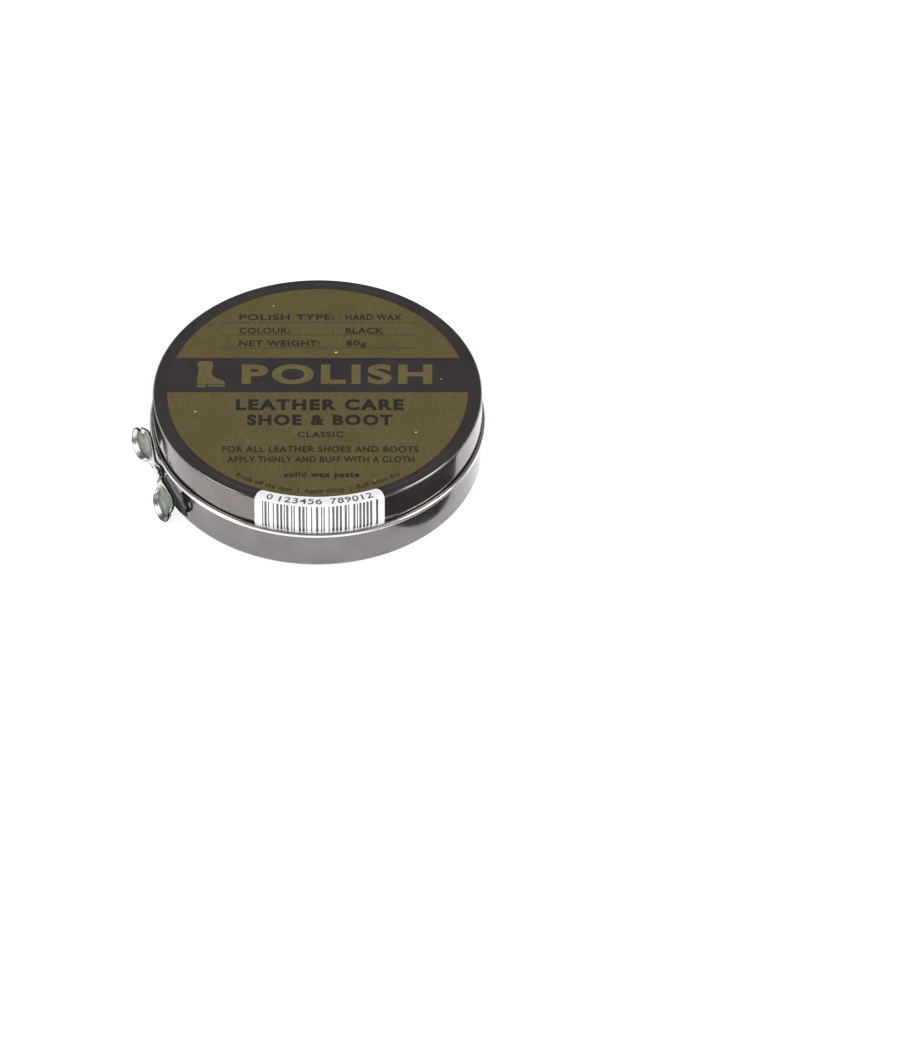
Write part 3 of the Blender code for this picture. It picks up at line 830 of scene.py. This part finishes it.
def make_key(look):
    """Key: plate, cam behind its middle, and rivet hole, with the dished places painted."""
    key = make_piece("opener_key", key_plate(), [look], 50.0)
    cam = prism(oval(CAM_LONG, CAM_SHORT, 48), FLAT_DISTANCE + GAP, KEY_SEAT + KEY_THICKNESS / 2)
    cut(key, cam, "UNION")
    hole = prism(oval(RIVET_HOLE, RIVET_HOLE, 48), FLAT_DISTANCE - 1 * MM, KEY_PLATE + 3 * MM)
    cut(key, hole, "DIFFERENCE")
    outline = key_outline()

    def wing(point):
        return smooth_step((abs(point.x) - 3.2 * MM) / (1.6 * MM))

    def dished(point):
        return wing(point) * smooth_step((edge_distance(point.xy, outline) - 1.0 * MM) / (0.3 * MM))

    # Painted shade: dark along the cut edge and along the crease round each bowl.
    def dirt(point):
        edge = edge_distance(point.xy, outline)
        line = max(1.0 - abs(edge - 1.15 * MM) / (0.35 * MM), 0.0)
        return max(smooth_step(1.0 - (edge - 0.2 * MM) / (0.2 * MM)), 0.9 * wing(point) * smooth_step(line))

    paint(key, "dished", dished)
    paint(key, "dirt", dirt)
    key.data.transform(key_matrix())
    return key


def make_rivet(look):
    """Shouldered rivet: domed head outside the key, shank, and a clinched tail inside the wall."""
    head_low = KEY_SEAT + KEY_THICKNESS + GAP / 2
    tail_high = FLAT_DISTANCE - SHEET - GAP
    head_high = head_low + RIVET_HEAD_HEIGHT
    tail_low = tail_high - RIVET_TAIL_THICKNESS
    dome = 0.5 * MM
    outline = [(0.0, tail_low), (RIVET_TAIL - 0.35 * MM, tail_low)]
    outline += arc((RIVET_TAIL - 0.2 * MM, tail_low + 0.2 * MM), 0.2 * MM, -math.pi / 2, 0.0, 6)
    outline += [(RIVET_TAIL, tail_high), (RIVET_SHANK, tail_high), (RIVET_SHANK, head_low),
                (RIVET_SHANK + 0.3 * MM, head_low), (RIVET_HEAD - 0.08 * MM, head_low + RIVET_HEAD_SLOPE)]
    outline += [(RIVET_HEAD, head_low + RIVET_HEAD_SLOPE + 0.08 * MM)]
    outline += arc((RIVET_HEAD - dome, head_high - dome), dome, math.radians(12.0), math.pi / 2, 10)
    outline += [(0.9 * MM, head_high - 0.03 * MM), (0.6 * MM, head_high - 0.12 * MM),
                (0.3 * MM, head_high - 0.22 * MM), (0.0, head_high - 0.25 * MM)]
    bm = lathe(outline, lambda k: 0, 96)
    bm.transform(key_matrix())
    rivet = make_piece("rivet_body", bm, [look])
    paint(rivet, "dished", lambda point: 0.0)
    paint(rivet, "dirt", lambda point: 0.0)
    return rivet


# ------------ print on the lid

def lettering(text, weight):
    """Flat letters as a bmesh in the XY plane, one unit thick, from Blender's own font."""
    curve = bpy.data.curves.new("lettering", "FONT")
    curve.body = text
    curve.offset = weight
    curve.space_character = 1.04 + 4.0 * weight
    curve.extrude = 0.5
    curve.resolution_u = 6
    holder = new_object("lettering", curve)
    bpy.context.view_layer.update()
    mesh = applied(holder)
    bm = bmesh.new()
    bm.from_mesh(mesh)
    bpy.data.objects.remove(holder, do_unlink=True)
    bpy.data.curves.remove(curve)
    bpy.data.meshes.remove(mesh)
    bmesh.ops.remove_doubles(bm, verts=bm.verts, dist=0.0001)
    return bm


def span(bm):
    """Lowest and highest x and y of a bmesh."""
    xs = [v.co.x for v in bm.verts]
    ys = [v.co.y for v in bm.verts]
    return min(xs), max(xs), min(ys), max(ys)


def add_bmesh(target, source):
    """Copies one bmesh into another and frees it."""
    mesh = bpy.data.meshes.new("passing")
    source.to_mesh(mesh)
    source.free()
    target.from_mesh(mesh)
    bpy.data.meshes.remove(mesh)


def text_line(bm, text, left, right, centre_y, height, low, high, weight):
    """Adds a line of letters: ends, middle and height in millimetres, low and high in metres."""
    letters = lettering(text, weight)
    x0, x1, y0, y1 = span(letters)
    scale_x = (right - left) * MM / (x1 - x0)
    scale_y = height * MM / (y1 - y0)
    for vert in letters.verts:
        vert.co.x = left * MM + (vert.co.x - x0) * scale_x
        vert.co.y = centre_y * MM + (vert.co.y - (y0 + y1) / 2) * scale_y
        vert.co.z = high if vert.co.z > 0.0 else low
    add_bmesh(bm, letters)


def arc_text(bm, text, radius, start, end, height, place, weight):
    """Adds letters along an arc round the axis, their feet on the radius; place lifts each point."""
    letters = lettering(text, weight)
    x0, x1, y0, y1 = span(letters)
    for i in range(1, LETTER_SLICES):
        bmesh.ops.bisect_plane(letters, geom=letters.verts[:] + letters.edges[:] + letters.faces[:],
                               dist=0.0001, plane_co=(0.0, y0 + (y1 - y0) * i / LETTER_SLICES, 0.0),
                               plane_no=(0.0, 1.0, 0.0))
    for vert in letters.verts:
        angle = start + (end - start) * (vert.co.x - x0) / (x1 - x0)
        reach = radius - (vert.co.y - y0) / (y1 - y0) * height
        vert.co = place(angle, reach, vert.co.z > 0.0)
    add_bmesh(bm, letters)


def disc_slice(low_y, high_y, steps):
    """Outline of the part of the olive disc between two heights on the label."""
    low_angle = math.asin(max(low_y / OLIVE_RADIUS, -1.0))
    high_angle = math.asin(min(high_y / OLIVE_RADIUS, 1.0))
    right = arc((0.0, 0.0), OLIVE_RADIUS, low_angle, high_angle, steps)
    left = [(-x, y) for x, y in right[::-1]]
    points = right + left
    return [p for i, p in enumerate(points) if (Vector(p) - Vector(points[i - 1])).length > 0.01 * MM]


def make_olive(look):
    """Olive print above and below the band."""
    low, high = PANEL_Z + 0.005 * MM, PANEL_Z + INK
    bm = prism(disc_slice(BAND_HIGH, OLIVE_RADIUS, 120), low, high)
    prism(disc_slice(-OLIVE_RADIUS, BAND_LOW, 180), low, high, bm)
    return make_piece("label_olive", bm, [look])


def make_label_text(look):
    """Black lettering and dotted rules on the olive print."""
    low, high = PANEL_Z + INK + 0.005 * MM, PANEL_Z + 2 * INK
    bm = bmesh.new()
    for title, left, right, value, value_left, value_right, y in ROWS:
        drop = 0.28 if "g" in value else 0.0
        text_line(bm, title, left, right, y, ROW_HEIGHT, low, high, 0.018)
        text_line(bm, value, value_left, value_right, y - drop, ROW_HEIGHT + 2 * drop, low, high, 0.018)
    for text, left, right, y, height, weight in LINES:
        text_line(bm, text, left, right, y, height, low, high, weight)

    def on_panel(angle, reach, upper):
        return around(reach, angle, high if upper else low)

    arc_text(bm, CURVED_LINE, CURVED_RADIUS, *CURVED_ENDS, CURVED_HEIGHT, on_panel, 0.015)
    for y in RULE_HEIGHTS:
        x = RULE_ENDS[0]
        while x < RULE_ENDS[1]:
            prism(oval(RULE_DOT, RULE_DOT, 8, (x, y)), low, high, bm)
            x += RULE_PITCH
    return make_piece("label_lettering", bm, [look])


def make_band_text(look):
    """Olive letters and a boot sign on the black band."""
    low, high = PANEL_Z + 0.005 * MM, PANEL_Z + INK
    bm = bmesh.new()
    text_line(bm, "POLISH", -20.3, 30.6, 6.9, 7.7, low, high, 0.04)

    def placed(points):
        return [((x + BOOT_CENTRE[0]) * MM, (y + BOOT_CENTRE[1]) * MM) for x, y in points]

    prism(closed_curve(placed(BOOT), 6)[::-1], low, high, bm)
    for left, right, foot in BOOT_SOLES:
        corners = ((left, foot), (right, foot), (right, BOOT_SOLE_TOP), (left, BOOT_SOLE_TOP))
        prism(placed(corners), low, high, bm)
    return make_piece("band_lettering", bm, [look])


def make_dust(look):
    """A few flakes of dust on the label."""
    bm = bmesh.new()
    for x, y, size in DUST:
        outline = closed_curve([((x + px * size) * MM, (y + py * size) * MM) for px, py in FLECK], 3)
        prism(outline, PANEL_Z + INK + 0.005 * MM, PANEL_Z + INK + 0.09 * MM, bm)
    return make_piece("dust_flecks", bm, [look])


# ------------ sticker

def sticker_rows():
    """The lid's outer surface under the sticker, from the flap's top edge to the sticker's foot."""
    corner_z = HEIGHT - LID_CORNER
    path = [(STICKER_TOP_RADIUS, PANEL_Z)]
    run(path, PANEL_RADIUS, PANEL_Z, 3)
    run(path, CROWN_RADIUS, HEIGHT, 3)
    path += arc((WALL_RADIUS - LID_CORNER, corner_z), LID_CORNER, math.pi / 2, 0.0, 12)
    run(path, WALL_RADIUS, GROOVE_TOP_Z + 0.3 * MM, 14)
    run(path, WALL_RADIUS - 0.10 * MM, GROOVE_TOP_Z - 0.3 * MM, 3)
    run(path, WALL_RADIUS - 0.22 * MM, GROOVE_TOP_Z - 0.7 * MM, 2)
    run(path, WALL_RADIUS - 0.10 * MM, CURL_Z + CURL_SECTION - 0.02 * MM, 3)
    return path


def sticker_face(bm, path, columns):
    """Columns of vertices of one face of the sticker; its upper corners are cut round."""
    grid = []
    for i in range(columns + 1):
        angle = STICKER_HALF_ANGLE * (2 * i / columns - 1)
        from_end = (STICKER_HALF_ANGLE - abs(angle)) * WALL_RADIUS
        short = max(STICKER_CORNER - from_end, 0.0)
        start = STICKER_CORNER - math.sqrt(max(STICKER_CORNER ** 2 - short ** 2, 0.0))
        column = []
        for r, z in path:
            reach = max(r, STICKER_TOP_RADIUS + start)
            height = z if reach == r else height_on(path, reach)
            column.append(bm.verts.new(around(reach, STICKER_AZIMUTH + angle, height)))
        grid.append(column)
    return grid


def make_sticker(look):
    """Paper bent over the lid's edge, with rounded upper corners."""
    columns = 72
    bm = bmesh.new()
    outer = sticker_face(bm, offset_path(sticker_rows(), STICKER_LIFT + STICKER_THICKNESS), columns)
    inner = sticker_face(bm, offset_path(sticker_rows(), STICKER_LIFT), columns)
    count = len(inner[0])
    for i in range(columns):
        for k in range(count - 1):
            bm.faces.new((outer[i][k], outer[i][k + 1], outer[i + 1][k + 1], outer[i + 1][k]))
            bm.faces.new((inner[i][k], inner[i + 1][k], inner[i + 1][k + 1], inner[i][k + 1]))
        for k in (0, count - 1):
            bm.faces.new((outer[i][k], outer[i + 1][k], inner[i + 1][k], inner[i][k]))
    for i in (0, columns):
        for k in range(count - 1):
            bm.faces.new((outer[i][k], inner[i][k], inner[i][k + 1], outer[i][k + 1]))
    bmesh.ops.dissolve_degenerate(bm, dist=0.0000005, edges=bm.edges)
    return make_piece("sticker_sheet", bm, [look])


def height_on(path, reach):
    """Height of the sticker's flap at a distance from the tin's axis."""
    for (r0, z0), (r1, z1) in zip(path, path[1:]):
        if r0 <= reach <= r1 and r1 > r0:
            return z0 + (z1 - z0) * (reach - r0) / (r1 - r0)
    return path[0][1]


def add_bar(bm, low_path, high_path, start, end):
    """Adds one bar of the code between two angles, from the low path up to the high path."""
    low_a, low_b, high_a, high_b = ([bm.verts.new(around(r, turn, z)) for r, z in path]
                                    for path in (low_path, high_path) for turn in (start, end))
    last = len(low_path) - 1
    for k in range(last):
        bm.faces.new((high_a[k], high_a[k + 1], high_b[k + 1], high_b[k]))
        bm.faces.new((low_a[k], low_b[k], low_b[k + 1], low_a[k + 1]))
        bm.faces.new((low_a[k], low_a[k + 1], high_a[k + 1], high_a[k]))
        bm.faces.new((low_b[k], high_b[k], high_b[k + 1], low_b[k + 1]))
    for k in (0, last):
        bm.faces.new((low_a[k], high_a[k], high_b[k], low_b[k]))


def make_sticker_print(look):
    """Bars of random widths down the sticker and plain counting digits above them."""
    bm = bmesh.new()
    rows = sticker_rows()
    first = next(i for i, (r, z) in enumerate(rows) if z < BAR_TOP_Z and r > CROWN_RADIUS)
    low_path = offset_path(rows, STICKER_LIFT + STICKER_THICKNESS + 0.003 * MM)
    high_path = offset_path(rows, STICKER_LIFT + STICKER_THICKNESS + 0.015 * MM)
    draw = random.Random(7)
    module = 0
    while module < BAR_MODULES:
        width = draw.choice(BAR_WIDTHS)
        start = STICKER_AZIMUTH + BAR_START + module * BAR_MODULE
        add_bar(bm, low_path[first:-1], high_path[first:-1], start, start + width * BAR_MODULE * 0.92)
        module += width + draw.choice(BAR_GAPS)

    def on_flap(angle, reach, upper):
        return around(reach, angle, height_on(high_path if upper else low_path, reach))

    for digits, start, end in DIGIT_GROUPS:
        arc_text(bm, digits, DIGIT_RADIUS, STICKER_AZIMUTH + math.radians(start),
                 STICKER_AZIMUTH + math.radians(end), DIGIT_HEIGHT, on_flap, 0.012)
    printed = make_piece("sticker_print", bm, [look])
    # Painted shade: the bars turn black towards the foot, where the paper bends into the groove.
    paint(printed, "foot", lambda point: smooth_step((GROOVE_TOP_Z + 1.2 * MM - point.z) / (1.2 * MM)))
    return printed


# ------------ stage, light and camera

def make_floor(look):
    """Wide flat sheet that the tin stands on."""
    bm = bmesh.new()
    reach = 3.0
    bm.faces.new([bm.verts.new(corner) for corner in
                  ((-reach, -reach, 0), (reach, -reach, 0), (reach, reach, 0), (-reach, reach, 0))])
    bmesh.ops.subdivide_edges(bm, edges=bm.edges, cuts=3, use_grid_fill=True)
    floor = make_piece("floor", bm, [look])
    floor.location.z = -0.02 * MM
    return floor


def aimed(name, data, place, back):
    """Light or camera at a place, with its back to a direction."""
    made = new_object(name, data)
    made.location = place
    made.rotation_mode = "QUATERNION"
    made.rotation_quaternion = back.to_track_quat("Z", "Y")
    return made


def soft_light(name, direction, distance, size, power):
    """Round area light that faces the tin; direction is (azimuth, elevation) in degrees, 0 facing +X."""
    data = bpy.data.lights.new(name, "AREA")
    data.shape = "DISK"
    data.size = size
    data.energy = power
    azimuth, elevation = (math.radians(angle) for angle in direction)
    out = Vector((math.cos(azimuth) * math.cos(elevation), math.sin(azimuth) * math.cos(elevation),
                  math.sin(elevation)))
    aimed(name, data, out * distance, out).visible_camera = False


def make_world():
    """Even white light all round, which polished metal sees as a dark studio with a pale horizon."""
    world = bpy.data.worlds.new("studio")
    bpy.context.scene.world = world
    world.use_nodes = True
    nodes, links = world.node_tree.nodes, world.node_tree.links
    background = nodes["Background"]
    place = nodes.new("ShaderNodeTexCoord")
    split = nodes.new("ShaderNodeSeparateXYZ")
    ramp = nodes.new("ShaderNodeValToRGB")
    for _ in range(len(STUDIO_STOPS) - 2):
        ramp.color_ramp.elements.new(0.5)
    for element, (position, value) in zip(ramp.color_ramp.elements, STUDIO_STOPS):
        element.position = position
        element.color = (value, value, value, 1.0)
    seen = nodes.new("ShaderNodeLightPath")
    for_diffuse = nodes.new("ShaderNodeMix")
    for_camera = nodes.new("ShaderNodeMix")
    for mix, level in ((for_diffuse, DOME_LIGHT), (for_camera, 1.0)):
        mix.data_type = "RGBA"
        mix.inputs[7].default_value = (level, level, level, 1.0)
    links.new(place.outputs["Generated"], split.inputs[0])
    links.new(split.outputs["Z"], ramp.inputs[0])
    links.new(seen.outputs["Is Diffuse Ray"], for_diffuse.inputs[0])
    links.new(ramp.outputs[0], for_diffuse.inputs[6])
    links.new(seen.outputs["Is Camera Ray"], for_camera.inputs[0])
    links.new(for_diffuse.outputs[2], for_camera.inputs[6])
    links.new(for_camera.outputs[2], background.inputs["Color"])


def make_shadow_and_neighbour_cards():
    """Dark cards round the tin, seen only in its metal: a painted reflection of a dark neighbouring tin, and
    painted shadow where the walls mirror the floor in the tin's shade and under the key.
    """
    look = Look("black_card", (0.02, 0.02, 0.02), 0.6)
    look.feed("Base Color", look.blend(look.noise(20 * MM, 3.0), (0.02, 0.02, 0.02), (0.035, 0.03, 0.03)))
    bm = bmesh.new()
    for i, (x, y, radius) in enumerate(SHADOW_AND_NEIGHBOUR_CARDS):
        floor = 0.2 * MM * i
        prism(oval(radius * MM, radius * MM, 96, (x * MM, y * MM)), floor, floor + 0.1 * MM, bm)
    cards = make_piece("dark_cards", bm, [look.material])
    cards.visible_camera = False
    cards.visible_diffuse = False
    cards.visible_shadow = False
    return cards


def make_camera():
    """Long lens in front of the tin and above it, turned so that the tin stands left of the middle."""
    data = bpy.data.cameras.new("camera")
    data.lens = CAMERA_LENS
    data.sensor_width = 36.0
    data.clip_end = 20.0
    back = Vector((0.0, -math.cos(CAMERA_ELEVATION), math.sin(CAMERA_ELEVATION)))
    up = Vector((0.0, math.sin(CAMERA_ELEVATION), math.cos(CAMERA_ELEVATION)))
    place = back * CAMERA_DISTANCE + Vector((LOOK_RIGHT, 0.0, 0.0)) - up * LOOK_DOWN
    bpy.context.scene.camera = aimed("camera", data, place, back)


def make_studio():
    """Floor, cards of painted shadow and reflection, world and two soft lights."""
    make_floor(floor_look())
    make_shadow_and_neighbour_cards()
    make_world()
    soft_light("left_light", (-157.0, 32.0), 1.2, 0.6, 2.6)
    soft_light("right_light", (-15.0, 36.0), 1.2, 0.6, 4.5)
    bpy.context.scene.view_settings.view_transform = "Standard"


def add(piece, body, slot, *nodes):
    """Lets a piece ride on its body and hides the CAD nodes that it stands for; slot, its finish, is not
    used.
    """
    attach(piece, body)
    if nodes:
        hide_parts(*nodes)


def main():
    lacquer = lacquer_look("lid_lacquer_look", LID_LACQUER, LID_BARE)
    base_lacquer = lacquer_look("base_lacquer_look", BASE_LACQUER, BASE_BARE)
    tin = tinplate_look()
    add(make_lid(lacquer, tin), "lid", "lid_lacquer", "lid")
    add(make_base(base_lacquer, tin), "base", "base_lacquer", "base")
    add(make_polish(wax_look()), "base", "polish_wax", "polish")
    add(make_key(zinc_look("zinc", *KEY_ZINC)), "key", "zinc_plate", "turn_key")
    add(make_rivet(zinc_look("rivet_zinc", *RIVET_ZINC)), "base", "rivet_steel", "key_rivet")
    add(make_sticker(paper_look()), "lid", "sticker_paper", "barcode_sticker")
    add(make_sticker_print(bar_ink_look()), "lid", "sticker_paper")
    add(make_olive(olive_look("olive_ink", OLIVE)), "lid", "lid_lacquer")
    add(make_band_text(olive_look("olive_letter_ink", LETTER_OLIVE)), "lid", "lid_lacquer")
    add(make_label_text(ink_look("black_ink", BLACK_INK, 0.36)), "lid", "lid_lacquer")
    add(make_dust(dust_look()), "lid", "lid_lacquer")
    make_studio()
    make_camera()


main()
